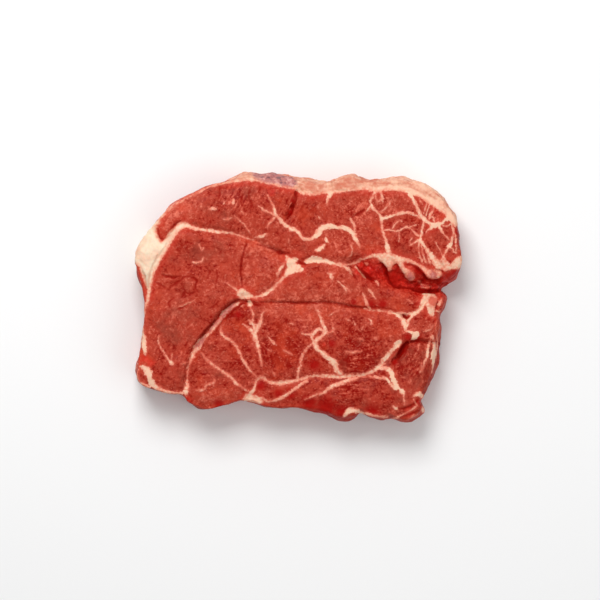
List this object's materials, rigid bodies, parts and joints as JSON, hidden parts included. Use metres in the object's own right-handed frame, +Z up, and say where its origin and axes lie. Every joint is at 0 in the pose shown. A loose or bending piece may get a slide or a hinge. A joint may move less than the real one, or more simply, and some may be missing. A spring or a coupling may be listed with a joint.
{
  "type": "beef chuck roast",
  "caption": "Raw boneless beef shoulder roast: a thick slab cut across the muscles, with seams of fat between them and a fat cap along one edge.",
  "frame": {"origin": "on the surface that the slab lies on, below the middle of its bounding box", "axes": "+Z up, out of the upper cut face; +X along the slab, towards the trimmed end with the torn hollow; +Y across the slab, towards the fat cap"},
  "size_m": [0.248, 0.1906, 0.0415],
  "materials": {
    "beef": "raw red meat, moist and fine grained, with cream to pink seams and a cap of fat"
  },
  "bodies": {
    "root": {"roast": "beef"}
  },
  "joints": []
}
